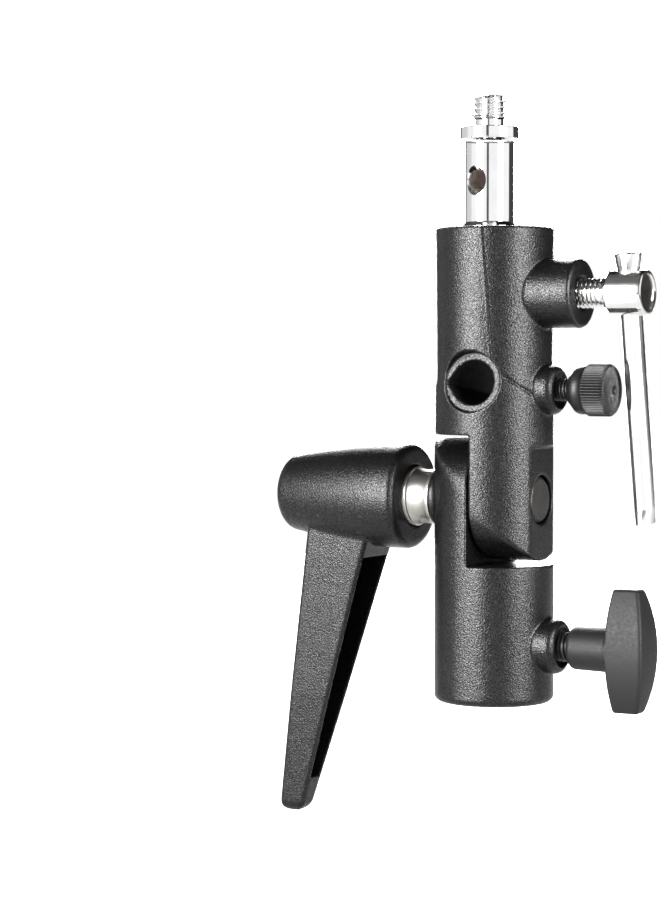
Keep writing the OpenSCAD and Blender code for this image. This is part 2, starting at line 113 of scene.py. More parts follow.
def surface_nets(field, low, high, step):
    """Points and quads of a field's zero surface, on a grid of the given step."""
    axes = [np.arange(a - step, b + 2 * step, step) for a, b in zip(low, high)]
    grid = np.meshgrid(*axes, indexing="ij")
    value = field(*grid).astype(np.float32)
    inside = value < 0
    counts = np.array(value.shape)
    total = np.zeros(tuple(counts - 1) + (3,), np.float32)
    hits = np.zeros(tuple(counts - 1), np.float32)
    crossings = []
    for axis in range(3):
        near = [slice(None)] * 3
        far = [slice(None)] * 3
        near[axis] = slice(0, -1)
        far[axis] = slice(1, None)
        a = value[tuple(near)]
        b = value[tuple(far)]
        edge = inside[tuple(near)] != inside[tuple(far)]
        index = np.argwhere(edge)
        share = a[edge] / (a[edge] - b[edge])
        point = index.astype(np.float32)
        point[:, axis] += share
        others = [k for k in range(3) if k != axis]
        for du in (0, 1):
            for dv in (0, 1):
                cell = index.copy()
                cell[:, others[0]] -= du
                cell[:, others[1]] -= dv
                good = ((cell >= 0) & (cell < counts - 1)).all(1)
                where = tuple(cell[good].T)
                np.add.at(total, where, point[good])
                np.add.at(hits, where, 1)
        crossings.append((axis, others, index, inside[tuple(near)][edge]))
    used = hits > 0
    number = np.full(used.shape, -1, np.int64)
    number[used] = np.arange(used.sum())
    points = total[used] / hits[used][:, None] * step + np.array([a[0] for a in axes])
    quads = []
    for axis, others, index, low_inside in crossings:
        ring = []
        for du, dv in ((0, 0), (1, 0), (1, 1), (0, 1)):
            cell = index.copy()
            cell[:, others[0]] -= du
            cell[:, others[1]] -= dv
            ring.append(number[tuple(np.clip(cell, 0, np.array(number.shape) - 1).T)])
        ring = np.stack(ring, 1)
        turn = low_inside if axis != 1 else ~low_inside
        quads.append(np.where(turn[:, None], ring, ring[:, ::-1]))
    return points.astype(np.float64), np.concatenate(quads)


def settle(points, field):
    """Points moved on to the field's zero surface along its gradient."""
    h, rounds, longest = 0.02, 4, 0.2
    for _ in range(rounds):
        x, y, z = points.T
        value = field(x, y, z)
        slope = np.stack(
            [
                field(x + h, y, z) - field(x - h, y, z),
                field(x, y + h, z) - field(x, y - h, z),
                field(x, y, z + h) - field(x, y, z - h),
            ],
            1,
        ) / (2 * h)
        size = np.maximum((slope**2).sum(1), 0.25)
        points = points - np.clip(value / size, -longest, longest)[:, None] * slope
    return points


def new_object(name, points, faces):
    mesh = bpy.data.meshes.new(name)
    mesh.from_pydata((np.asarray(points) * MM).tolist(), [], [list(map(int, f)) for f in faces])
    mesh.update()
    mesh.shade_smooth()
    piece = bpy.data.objects.new(name, mesh)
    bpy.context.scene.collection.objects.link(piece)
    return piece


def cast(name, field, low, high, step):
    """A piece from a distance field. Two rounds of smoothing along the surface even its mesh out."""
    points, quads = surface_nets(field, low, high, step)
    for _ in range(2):
        total = np.zeros_like(points)
        hits = np.zeros(len(points))
        for a, b in ((0, 1), (1, 2), (2, 3), (3, 0)):
            np.add.at(total, quads[:, a], points[quads[:, b]])
            np.add.at(hits, quads[:, a], 1)
        points = 0.5 * points + 0.5 * total / hits[:, None]
        points = settle(points, field)
    return new_object(name, points, quads)


# ------------------------------------------------------------ turned pieces


def arc(along, across, r, start, end):
    """Points of an arc, as (distance along the axis, radius), angles in degrees from the axis."""
    steps = 6
    angles = np.radians(np.linspace(start, end, steps + 1))
    return [(along + r * math.cos(a), across + r * math.sin(a)) for a in angles]


def fine(rows, longest):
    """Rows with more put in, so that none are further apart than longest."""
    out = [rows[0]]
    for (s0, r0), (s1, r1) in zip(rows, rows[1:]):
        pieces = max(1, math.ceil(math.hypot(s1 - s0, r1 - r0) / longest))
        out += [(s0 + (s1 - s0) * k / pieces, r0 + (r1 - r0) * k / pieces) for k in range(1, pieces + 1)]
    return out


def turned(name, rows, place, shape=None, sides=96, ring=False):
    """A turned piece from rows of (distance along its axis, radius).

    shape(s, r, angle) may change the radius, or give the two radii of an oval. A ring's rows run once round
    its section. Other rows are closed by a flat cap at each end.
    """
    angle = np.linspace(0, 2 * math.pi, sides, endpoint=False)
    points, faces = [], []
    for s, r in rows:
        radius = shape(s, r, angle) if shape else r
        wide, deep = radius if isinstance(radius, tuple) else (radius, radius)
        points.append(np.stack([wide * np.cos(angle), deep * np.sin(angle), np.full(sides, s)], 1))
    points = np.concatenate(points)
    count = len(rows)
    for i in range(count if ring else count - 1):
        a, b = i * sides, (i + 1) % count * sides
        faces += [(a + j, a + (j + 1) % sides, b + (j + 1) % sides, b + j) for j in range(sides)]
    if not ring:
        caps = np.array([[0, 0, rows[0][0]], [0, 0, rows[-1][0]]])
        first, last = len(points), len(points) + 1
        points = np.concatenate([points, caps])
        top = (count - 1) * sides
        faces += [(first, (j + 1) % sides, j) for j in range(sides)]
        faces += [(last, top + j, top + (j + 1) % sides) for j in range(sides)]
    matrix = np.array(place)
    points = points @ matrix[:3, :3].T + matrix[:3, 3]
    return new_object(name, points, faces)


def along_x(z):
    """Place whose axis runs along +X at height z."""
    return Matrix.Translation((0, 0, z)) @ Matrix.Rotation(math.pi / 2, 4, "Y")


def along_z(x):
    """Place whose axis runs along +Z, x to the side."""
    return Matrix.Translation((x, 0, 0))


def thread(pitch, start, end, run_out=0.8):
    """Shape function of a right-hand thread between start and end, of the standard depth for its pitch."""
    depth = 0.6134 * pitch

    def shape(s, r, angle):
        phase = (s / pitch - angle / (2 * math.pi)) % 1
        flank = np.clip((np.abs(phase - 0.5) - 0.10) / 0.30, 0, 1)
        groove = 1 - flank**1.15
        fade = min(max((s - start) / run_out, 0), 1) * min(max((end - s) / run_out, 0), 1)
        return r - depth * groove * fade

    return shape


def cut_hole(piece, rows, place):
    """Cuts a turned shape out of a piece."""
    cutter = turned(piece.name + "_cutter", rows, place)
    change = piece.modifiers.new("hole", "BOOLEAN")
    change.operation = "DIFFERENCE"
    change.solver = "EXACT"
    change.object = cutter
    bpy.context.view_layer.update()
    evaluated = piece.evaluated_get(bpy.context.evaluated_depsgraph_get())
    mesh = bpy.data.meshes.new_from_object(evaluated)
    piece.modifiers.clear()
    piece.data = mesh
    bpy.data.objects.remove(cutter)


def countersunk(r, end, mouth_r):
    """Rows of a hole of radius r, straight to end on both sides, then opening at 45 degrees from mouth_r."""
    reach = 9
    mouth = mouth_r + reach - end
    return [(-reach, mouth), (-end, r), (end, r), (reach, mouth)]


def sharpen(piece, degrees=32):
    """Smooth shading, with edges over the angle kept sharp."""
    piece.data.shade_smooth()
    piece.data.set_sharp_from_angle(angle=math.radians(degrees))


def settle_piece(piece, body, slot, *nodes):
    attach(piece, body)
    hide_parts(*nodes)


# ------------------------------------------------------------ castings


def body_radius(z):
    """The upper body drafts in from its top, then steps out below the parting line."""
    top, waist, lower = 16.05, 15.72, 16.15
    drafted = waist + (top - waist) * np.clip((z - 89) / 40, 0, 1.1)
    return lower + (drafted - lower) * ramp(z, 86.2, 88.6)


def crease(x, y, z):
    """Height of the parting line: a low double ridge down the front, then a groove towards the thumb boss."""
    skin_r, ridge_high, cut_deep = 16.15, 0.10, 0.4
    start_around, start_z, run, fall, slant = 8.8, 89.4, 10.2, 5.7, 11.68
    angle = np.degrees(np.arctan2(x, -y))
    line_angle = np.interp(z, [92, 129], [22.6, 12.2])
    off = (angle - line_angle) * math.radians(16)
    ridge = np.exp(-((off / 0.26) ** 2)) - np.exp(-(((off - 0.55) / 0.24) ** 2))
    step = ramp(off, -6, 0.2) - ramp(off, 0.2, 1.0)
    height = ridge_high * (ridge + step) * ramp(z, 91.5, 93)
    around = skin_r * np.radians(angle)
    along = ((around - start_around) * run - (z - start_z) * fall) / slant
    across = ((around - start_around) * fall + (z - start_z) * run) / slant
    cut = np.exp(-((across / 0.36) ** 2)) * ramp(along, -0.3, 2.5) * ramp(-along, -13, -12)
    return height * (np.abs(angle) < 100) - cut_deep * cut


def tilted(y, z):
    """Distances along the umbrella hole and up from it, in the plane that it tilts in."""
    c, s = math.cos(UMBRELLA_TILT), math.sin(UMBRELLA_TILT)
    return (z - UMBRELLA_Z) * s - y * c, (z - UMBRELLA_Z) * c + y * s


def upper_field(x, y, z):
    top_z, gap_top, tongue_face, flat_x, flat_high = 129.2, 73.1, 0.07, 14.4, 14.4
    spot_r, spot_reach, socket_r, socket_floor = 8.2, 13.3, 8.05, 97
    groove_tip, groove_slope, groove_root = 7.7, 1.35, 4.4
    body = np.hypot(x, y) - body_radius(z) - crease(x, y, z)
    body = both(body, z - top_z, 0.7)
    gap = both(x - tongue_face, z - gap_top, 0.8)
    body = without(body, gap, 0.45)
    body = both(body, np.hypot(y, np.minimum(z - PIVOT_Z, 0)) - TONGUE_R, 0.6)
    flat = both(flat_x - x, z - (PIVOT_Z + flat_high), 0.6)
    body = without(body, flat, 0.4)
    for boss_z, boss_r, boss_end, rounding in ((T_Z, 9.35, 26.1, 1.0), (THUMB_Z, 6.75, 20, 2.6)):
        boss = both(both(np.hypot(y, z - boss_z) - boss_r, x - boss_end, rounding), -x)
        body = either(body, boss, 0.5)
    along, up = tilted(y, z)
    spot = both(np.hypot(x, up) - spot_r, spot_reach - np.abs(along), 0.25)
    body = without(body, spot, 0.25)
    hole = np.hypot(x, up) - UMBRELLA_R
    groove = both((np.abs(up) - groove_slope * (x + groove_tip)) / 1.68, x + groove_root)
    body = without(body, either(hole, groove), 0.45)
    body = without(body, bore(x - SPIGOT_X, y, z, socket_r, socket_floor), 0.5)
    body = without(body, bore(y, z - T_Z, x, 4.05 + np.maximum(x - 25.3, 0), 3), 0.15)
    body = without(body, bore(y, z - THUMB_Z, x, 3.05 + np.clip(x - 17.6, 0, 1.7), 3), 0.5)
    # The bolt's bore, its head's seat and its square neck
    body = without(body, bore(y, z - PIVOT_Z, x, PIVOT_BORE_R, -1))
    body = without(body, bore(y, z - PIVOT_Z, x, 6.75, 9.18), 0.3)
    neck = np.maximum(np.abs(y), np.abs(z - PIVOT_Z)) - 4.25
    return without(body, both(neck, 4.5 - x))


def lower_field(x, y, z):
    body_r, cheek_face, gap_floor, socket_r, socket_top = 16.35, -0.67, 37.8, 8.1, 33
    pad_r, pad_face, boss_r, boss_end = 8, -16.5, 7.45, 20.8
    body = both(np.hypot(x, y) - body_r, -z, 2.0)
    gap = both(cheek_face - x, gap_floor - z, 0.8)
    body = without(body, gap, 0.5)
    body = both(body, np.hypot(y, np.maximum(z - PIVOT_Z, 0)) - TONGUE_R, 0.8)
    pad = both(both(np.hypot(y, z - PIVOT_Z) - pad_r, pad_face - x, 0.3), x)
    body = either(body, pad, 0.8)
    boss = both(both(np.hypot(y, z - WING_Z) - boss_r, x - boss_end, 2.2), -x)
    body = either(body, boss, 0.5)
    mouth = socket_r + np.maximum(0.8 - z, 0)
    body = without(body, both(np.hypot(x, y) - mouth, z - socket_top), 0.2)
    body = without(body, bore(y, z - PIVOT_Z, x, PIVOT_BORE_R, -30))
    return without(body, bore(y, z - WING_Z, x, 4.05 + np.clip(x - 18.6, 0, 1.3), 5), 0.5)


def lever_field(x, y, z):
    hub_r, hub_near, hub_far = 14.65, 24.3, 64.5
    outer_x, outer_slope, inner_x, inner_slope, blade_end = 53.05, 0.154, 31.8, 0.304, 91.7
    side_wall, outer_wall, pocket_start, pocket_end = 1.2, 2.8, 17.5, 81.5
    round_r = np.hypot(y, z - PIVOT_Z)
    down = PIVOT_Z - z
    hub = round_r - (hub_r - 3.85 * np.clip((-31 - x) / 30.5, 0, 1.2) ** 1.6)
    hub = both(both(hub, x + hub_near, 2.2), -hub_far - x, 3.0)
    outer = (-outer_x - outer_slope * down - x) / math.hypot(1, outer_slope)
    inner = (x + inner_x + inner_slope * down) / math.hypot(1, inner_slope)
    half = np.interp(down, [0, 17.5, 57, 83, 92], [9, 8.2, 5.85, 3.7, 2.9])
    ridge = 0.05 * (half - np.abs(y))
    blade = both(outer - ridge, np.abs(y) - half, 1.1)
    blade = both(blade, inner, 1.3)
    blade = both(blade, down - blade_end, 3.3)
    blade = both(blade, -down)
    handle = either(hub, blade, 0.7)
    pocket = both(np.abs(y) - half + side_wall, outer + outer_wall, 0.5)
    pocket = both(both(pocket, pocket_start - down), down - pocket_end, 0.5)
    handle = without(handle, both(pocket, hub_r + 1 - round_r, 0.4), 0.35)
    # The nut's collar, the splines, the spring's room and the screw's shank, each with its far end
    hollow = bore(y, z - PIVOT_Z, x, 8.6, -27.4)
    for r, far_end in ((7.9, -31.5), (6.05, -41), (3.45, -45)):
        hollow = either(hollow, bore(y, z - PIVOT_Z, x, r, far_end))
    recess = both(round_r - 6.5, x + 43.5)
    return without(without(handle, hollow, 0.5), recess, 0.5)


def wing_field(x, y, z):
    """The grip is a plate whose outline seen along X is a lens, between a slightly curved back and a dome."""
    stem_start, stem_end, half_long = 23.5, 35.4, 16.6
    lens_r, lens_off, back_r, back_x, dome_r, dome_x = 40, 33.9, 138, 173.2, 52, 5.8
    up = z - WING_Z
    round_r = np.hypot(y, up)
    stem = round_r - (5.8 + 0.3 * (x - stem_start) / 13) + 1.5 * np.maximum(x - stem_end, 0)
    stem = both(both(stem, stem_start - x, 1.6), x - 40)
    lens = np.hypot(np.abs(y) + lens_off, up) - lens_r
    plate = both(lens, np.abs(up) - half_long, 0.7)
    back = np.hypot(x - back_x, up) - back_r
    dome = np.sqrt((x + dome_x) ** 2 + y**2 + up**2) - dome_r
    plate = both(both(plate, back, 0.6), dome, 0.9)
    knob = either(stem, plate, 0.6)
    return without(knob, both(np.hypot(y, up) - 4.05, x - 40.1), 0.3)


# ------------------------------------------------------------ materials


class Nodes:
    """A material's node tree, with short calls to add and join its nodes."""

    def __init__(self, name):
        self.material = bpy.data.materials.new(name)
        self.material.use_nodes = True
        self.tree = self.material.node_tree
        self.shader = next(n for n in self.tree.nodes if n.type == "BSDF_PRINCIPLED")
        self.place = self.add("ShaderNodeTexCoord").outputs["Object"]

    def add(self, kind, **values):
        node = self.tree.nodes.new(kind)
        for key, value in values.items():
            if hasattr(node, key):
                setattr(node, key, value)
            else:
                node.inputs[key.replace("_", " ").title()].default_value = value
        return node

    def join(self, start, end):
        self.tree.links.new(start, end)

    def noise(self, scale, detail=3.0, roughness=0.55, stretch=None):
        """Noise of the given scale, in lumps per metre."""
        node = self.add("ShaderNodeTexNoise", Scale=scale, Detail=detail, Roughness=roughness)
        source = self.place
        if stretch:
            mapping = self.add("ShaderNodeMapping")
            mapping.inputs["Scale"].default_value = stretch
            self.join(source, mapping.inputs["Vector"])
            source = mapping.outputs["Vector"]
        self.join(source, node.inputs["Vector"])
        return node.outputs[0]

    def cells(self, scale):
        node = self.add("ShaderNodeTexVoronoi", Scale=scale)
        self.join(self.place, node.inputs["Vector"])
        return node.outputs["Distance"]

    def between(self, source, low, high, to_low, to_high):
        node = self.add("ShaderNodeMapRange")
        for key, value in (("From Min", low), ("From Max", high), ("To Min", to_low), ("To Max", to_high)):
            node.inputs[key].default_value = value
        self.join(source, node.inputs["Value"])
        return node.outputs["Result"]

    def colours(self, source, stops):
        node = self.add("ShaderNodeValToRGB")
        ramp_stops = node.color_ramp.elements
        while len(ramp_stops) < len(stops):
            ramp_stops.new(0.5)
        for element, (where, colour) in zip(ramp_stops, stops):
            element.position = where
            element.color = (*colour, 1)
        self.join(source, node.inputs["Fac"])
        return node.outputs["Color"]

    def mixed(self, share, a, b):
        node = self.add("ShaderNodeMix", data_type="RGBA")
        self.join(share, node.inputs[0])
        self.join(a, node.inputs[6])
        self.join(b, node.inputs[7])
        return node.outputs[2]

    def total(self, a, b, weight):
        node = self.add("ShaderNodeMath", operation="MULTIPLY_ADD")
        self.join(b, node.inputs[0])
        node.inputs[1].default_value = weight
        self.join(a, node.inputs[2])
        return node.outputs[0]

    def bump(self, height, distance, strength):
        node = self.add("ShaderNodeBump", Strength=strength, Distance=distance)
        self.join(height, node.inputs["Height"])
        self.join(node.outputs["Normal"], self.shader.inputs["Normal"])

    def edges(self, high):
        """How much of an outer edge this is, from the mesh's pointiness. It is whole at high."""
        node = self.add("ShaderNodeNewGeometry")
        return self.between(node.outputs["Pointiness"], 0.52, high, 0, 1)

    def set(self, **values):
        for key, value in values.items():
            self.shader.inputs[key.replace("_", " ")].default_value = value

    def drive(self, source, socket):
        self.join(source, self.shader.inputs[socket])


def powder_coat():
    """Black textured powder coat: fine pebbled grain, speckled shine, scuffed edges."""
    m = Nodes("powder_coat")
    grain = m.noise(3000, 1.5, 0.5)
    pits = m.cells(2300)
    height = m.total(grain, pits, 0.7)
    cloud = m.noise(45, 4.0)
    base = m.colours(cloud, [(0.3, (0.0018, 0.0018, 0.0019)), (0.7, (0.0028, 0.0028, 0.0029))])
    worn = m.colours(grain, [(0.35, (0.006, 0.006, 0.006)), (0.75, (0.022, 0.022, 0.021))])
    m.drive(m.mixed(m.edges(0.60), base, worn), "Base Color")
    m.drive(m.between(m.noise(700), 0.3, 0.7, 0.28, 0.36), "Roughness")
    m.drive(m.between(m.noise(3900, 1.0), 0.35, 0.65, 0.10, 0.55), "Specular IOR Level")
    m.bump(height, 0.00009, 0.9)
    return m.material


def dull_bore(name, tint, shine):
    """Inside of a bore: dull, dark and a little warm."""
    m = Nodes(name)
    cloud = m.noise(300, 4.0)
    dark = tuple(0.6 * c for c in tint)
    m.drive(m.colours(cloud, [(0.3, dark), (0.7, tint)]), "Base Color")
    m.drive(m.between(m.noise(900), 0.3, 0.7, 0.6, 0.75), "Roughness")
    m.set(Specular_IOR_Level=shine)
    m.bump(m.noise(2600), 0.00004, 0.4)
    return m.material


def plated(name, tint, rough):
    """Polished plating with faint machining lines and a haze of wipe marks."""
    m = Nodes(name)
    haze = m.noise(160, 5.0)
    lines = m.noise(900, 2.0, 0.6, (1.0, 1.0, 9.0))
    dark = tuple(0.93 * c for c in tint)
    m.drive(m.colours(haze, [(0.35, dark), (0.65, tint)]), "Base Color")
    m.set(Metallic=1.0)
    m.drive(m.between(haze, 0.35, 0.7, rough, rough + 0.04), "Roughness")
    m.bump(lines, 0.0000012, 0.25)
    return m.material


def machined_steel():
    m = Nodes("machined_steel")
    lines = m.noise(3000, 3.0, 0.6)
    m.drive(m.colours(lines, [(0.3, (0.40, 0.39, 0.38)), (0.7, (0.56, 0.55, 0.53))]), "Base Color")
    m.set(Metallic=1.0)
    m.drive(m.between(m.noise(420), 0.3, 0.7, 0.28, 0.42), "Roughness")
    m.bump(lines, 0.00002, 0.3)
    return m.material


def blacked_steel():
    """Blacked bolt head: smooth, warm dark grey, worn paler on its edge."""
    m = Nodes("blacked_steel")
    cloud = m.noise(260, 4.0)
    base = m.colours(cloud, [(0.35, (0.010, 0.0092, 0.0085)), (0.7, (0.017, 0.0155, 0.0145))])
    worn = m.colours(cloud, [(0.35, (0.03, 0.028, 0.026)), (0.7, (0.05, 0.048, 0.045))])
    m.drive(m.mixed(m.edges(0.6), base, worn), "Base Color")
    m.set(Metallic=0.25)
    m.drive(m.between(m.noise(900), 0.3, 0.7, 0.34, 0.46), "Roughness")
    m.bump(m.noise(2600), 0.00002, 0.35)
    return m.material


def turned_brass():
    m = Nodes("turned_brass")
    m.drive(m.colours(m.noise(600), [(0.3, (0.55, 0.38, 0.16)), (0.7, (0.70, 0.52, 0.25))]), "Base Color")
    m.set(Metallic=1.0)
    m.drive(m.between(m.noise(900), 0.3, 0.7, 0.22, 0.36), "Roughness")
    m.bump(m.noise(2500), 0.00001, 0.3)
    return m.material


def soft_moulding():
    """Satin rubber-like moulding of the wing knob."""
    m = Nodes("soft_moulding")
    stops = [(0.3, (0.0050, 0.0050, 0.0054)), (0.7, (0.0066, 0.0066, 0.0070))]
    m.drive(m.colours(m.noise(60, 4.0), stops), "Base Color")
    m.drive(m.between(m.noise(1200), 0.3, 0.7, 0.50, 0.62), "Roughness")
    m.set(Specular_IOR_Level=0.28)
    m.bump(m.noise(3800, 2.0), 0.00003, 0.4)
    return m.material


def hard_moulding():
    """Satin black plastic of the knurled knob, paler along the ribs."""
    m = Nodes("hard_moulding")
    cloud = m.noise(180, 4.0)
    base = m.colours(cloud, [(0.3, (0.003, 0.003, 0.0032)), (0.7, (0.005, 0.005, 0.0052))])
    worn = m.colours(cloud, [(0.3, (0.014, 0.014, 0.0145)), (0.7, (0.02, 0.02, 0.0205))])
    m.drive(m.mixed(m.edges(0.62), base, worn), "Base Color")
    m.drive(m.between(m.noise(900), 0.3, 0.7, 0.36, 0.46), "Roughness")
    m.set(Specular_IOR_Level=0.32)
    m.bump(m.noise(3000), 0.00003, 0.35)
    return m.material


def paint(piece, material):
    piece.data.materials.clear()
    piece.data.materials.append(material)


def line(piece, material, inside):
    """Faces whose middle is inside, a test on x, y, z in mm, take a second material."""
    faces = piece.data.polygons
    middles = np.empty(3 * len(faces))
    faces.foreach_get("center", middles)
    x, y, z = middles.reshape(-1, 3).T * 1000
    piece.data.materials.append(material)
    faces.foreach_set("material_index", np.asarray(inside(x, y, z), dtype=np.int32))


# ------------------------------------------------------------ the pieces

STEP = 0.42
T_BAR_PLACE = Matrix.Translation((T_BAR_X, 0, T_Z)) @ Matrix.Rotation(T_BAR_LEAN, 4, "X")

powder_coat_look = powder_coat()
# The umbrella hole's lining: near-black and barely shiny, painted shade inside the hole
painted_shade_bore = dull_bore("dull_bore", (0.006, 0.0057, 0.0054), 0.06)
bore_brown = dull_bore("raw_bore", (0.30, 0.25, 0.225), 0.3)
bright = plated("bright_chrome", (0.95, 0.95, 0.96), 0.05)
nickel = plated("satin_nickel", (0.88, 0.87, 0.86), 0.10)
# Darker plated metal for the T-screw head's recessed end face: painted shade
end_face_shade = plated("end_face_shade", (0.36, 0.33, 0.31), 0.2)
brushed = plated("brushed_nickel", (0.52, 0.50, 0.47), 0.30)
steel = machined_steel()
black_steel = blacked_steel()
brass = turned_brass()
rubber = soft_moulding()
plastic = hard_moulding()


def make_castings():
    upper = cast("upper_casting", upper_field, (-17, -17, 38), (27, 17, 130), STEP)
    settle_piece(upper, "upper", "casting", "upper_body")
    lower = cast("lower_casting", lower_field, (-17.5, -17, -0.5), (21, 17, 73), STEP)
    settle_piece(lower, "lower", "casting", "lower_body")
    lever = cast("clamp_lever", lever_field, (-69, -15.5, -37), (-23.5, 15.5, 71), STEP)
    settle_piece(lever, "lever", "casting", "lever_handle")
    for piece in (upper, lower, lever):
        paint(piece, powder_coat_look)

    def shaft_hole(x, y, z):
        along, up = tilted(y, z)
        aside = np.maximum(np.abs(x) - 1.75, 0)
        return (np.hypot(aside, up) < UMBRELLA_R + 0.1) & (np.abs(along) < 13.1)

    # Painted shade: the inside of the umbrella hole takes the near-black, barely shiny lining
    line(upper, painted_shade_bore, shaft_hole)


def make_wing_knob():
    knob = cast("wing_grip", wing_field, (22.5, -7.5, -1.5), (46.5, 7.5, 33.5), STEP * 0.7)
    settle_piece(knob, "wing", "plastic", "wing_knob")
    paint(knob, rubber)


def make_spigot():
    barrel, under, flange, stud, tail = 7.95, 6.6, 8.0, 4.7625, 3.175
    thread_start = 158.8
    rows = [(97.05, 2.6), (97.6, tail), (108.0, tail), (108.05, 2.5), (110.05, 2.5)]
    rows += arc(110.6, barrel - 0.6, 0.6, 180, 90)
    rows += [(129.7, barrel), (130.9, under + 0.1), (131.3, under), (152.2, under), (152.7, under + 0.15)]
    rows += [(153.2, flange - 0.5)] + arc(153.7, flange - 0.35, 0.35, 180, 90)
    rows += arc(156.35, flange - 0.35, 0.35, 90, 0)
    rows += [(156.7, 4.3)] + arc(157.1, 4.25, 0.4, 180, 270)[1:]
    rows += [(158.6, 3.85), (159.1, 4.5), (159.3, stud), (164.3, stud), (165.0, 4.1)]
    smooth = fine([r for r in rows if r[0] < thread_start], 0.6)
    threaded = fine([r for r in rows if r[0] >= thread_start], 0.1)
    piece = turned("double_spigot", smooth + threaded, along_z(SPIGOT_X), thread(1.5875, 159.0, 165.6), 192)
    turn = math.radians(CROSS_TURN)
    cross = Matrix.Translation((SPIGOT_X, 0, CROSS_Z)) @ Matrix.Rotation(turn, 4, "Z")
    cross = cross @ Matrix.Rotation(math.pi / 2, 4, "X")
    cut_hole(piece, countersunk(CROSS_R, under - 1.1, CROSS_R), cross)
    sharpen(piece)
    settle_piece(piece, "spigot", "plated", "spigot")
    paint(piece, bright)

    def cross_bore(x, y, z):
        aside = (x - SPIGOT_X) * math.cos(turn) + y * math.sin(turn)
        ahead = np.abs((x - SPIGOT_X) * math.sin(turn) - y * math.cos(turn))
        return (np.hypot(aside, z - CROSS_Z) < CROSS_R + 0.05) & (ahead < 6.3)

    line(piece, bore_brown, cross_bore)


def make_t_screw():
    r, head, face = 4.0, 6.15, 44.3
    shank = fine([(8.55, 3.4), (9.1, r), (25.0, r)], 0.8) + fine([(25.0, r), (33.3, r)], 0.09)[1:]
    cap = [(33.6, 3.5), (34.0, 3.6), (34.0, head - 0.9)]
    cap += [(34.9, head)] + fine([(34.9, head), (44.1, head)], 0.8)[1:]
    cap += [(44.75, head - 0.25), (45.0, head - 0.7), (45.0, head - 1.1), (face + 0.15, head - 1.3)]
    cap += [(44.35, 2), (face, 0.2)]
    piece = turned("t_screw_turned", shank + cap, along_x(T_Z), thread(1.25, 22.0, 33.6), 144)
    cut_hole(piece, countersunk(3.05, 5.9, 3.6), T_BAR_PLACE)
    sharpen(piece)
    settle_piece(piece, "t_handle", "plated", "t_screw")
    paint(piece, nickel)
    # The head's recessed end face takes the darker metal: painted shade
    line(piece, end_face_shade, lambda x, y, z: (x > 44.2) & (np.hypot(y, z - T_Z) < 4.9))


def make_t_bar():
    above, below, r, flare = 10.9, 62.9, 3.0, 4.6
    end_r, widened, thinned = 2.2, 0.25, 0.12
    rows = [(-below, end_r), (-below + 0.25, 2.8)]
    rows += fine([(-below + 0.25, r), (-below + flare, r), (above - flare, r), (above - 0.25, r)], 0.5)
    rows += [(above, end_r)]

    def shape(s, radius, angle):
        near = min(s + below, above - s)
        share = 1 - min(max((near - 0.2) / (flare - 0.2), 0), 1) ** 1.4
        wide, thin = radius * (1 + widened * share), radius * (1 - thinned * share)
        return (wide, thin) if s > 0 else (thin, wide)

    piece = turned("t_bar_swaged", rows, T_BAR_PLACE, shape)
    sharpen(piece, 40)
    settle_piece(piece, "t_bar", "plated", "t_bar")
    paint(piece, nickel)


def make_thumb_knob():
    rim, collar, root, ribs = 7.0, 6.5, 3.05, 56
    rows = [(22.8, root), (22.8, 3.4), (23.2, 4.2), (24.4, 5.5), (25.2, 6.3), (25.9, collar)]
    rows += [(27.4, collar), (27.9, collar - 0.35), (28.0, collar - 0.3), (28.5, rim)]
    rows += fine([(28.5, rim), (34.2, rim)], 0.6)[1:]
    rows += [(34.8, rim - 0.5), (35.0, rim - 0.9), (35.2, 4.4), (35.4, 1.5), (35.2, 1.1), (34.2, 0.7)]
    rows += [(34.0, 0.2), (30.1, 0.2), (30.1, root)]

    def shape(s, r, angle):
        depth = 0.42 * min(max((s - 28.0) / 0.5, 0), 1) * min(max((34.7 - s) / 0.5, 0), 1)
        at_rim = r > 6.2
        return r - depth * at_rim * (0.5 - 0.5 * np.cos(ribs * angle)) ** 1.4

    piece = turned("knurled_knob", rows, along_x(THUMB_Z), shape, ribs * 8, ring=True)
    sharpen(piece, 45)
    settle_piece(piece, "thumb", "plastic", "thumb_knob")
    paint(piece, plastic)


def make_screw(name, body, node, height, start, shank, fineness, *cut):
    """A screw from rows at its start, the (from, to, end, radius) of its shank, and its thread's measures."""
    groove_from, groove_to, end, r = shank
    rows = start + [(groove_from, r)] + fine([(groove_from, r), (groove_to, r)], fineness)[1:] + [(end, r)]
    piece = turned(name, rows, along_x(height), thread(*cut))
    sharpen(piece, 50)
    settle_piece(piece, body, "steel", node)
    paint(piece, black_steel)


def make_screws():
    tip, shank, cut = [(7.82, 2.4), (8.3, 3.0)], (17.5, 23.4, 30.0, 3.0), (1.0, 16.5, 23.6, 0.4)
    make_screw("thumb_stud", "thumb", "thumb_screw", THUMB_Z, tip, shank, 0.08, *cut)
    tip, shank, cut = [(10.12, 3.4), (10.6, 4.0)], (17.5, 24.6, 40.0, 4.0), (1.25, 16.5, 24.8)
    make_screw("wing_stud", "wing", "wing_screw", WING_Z, tip, shank, 0.09, *cut)


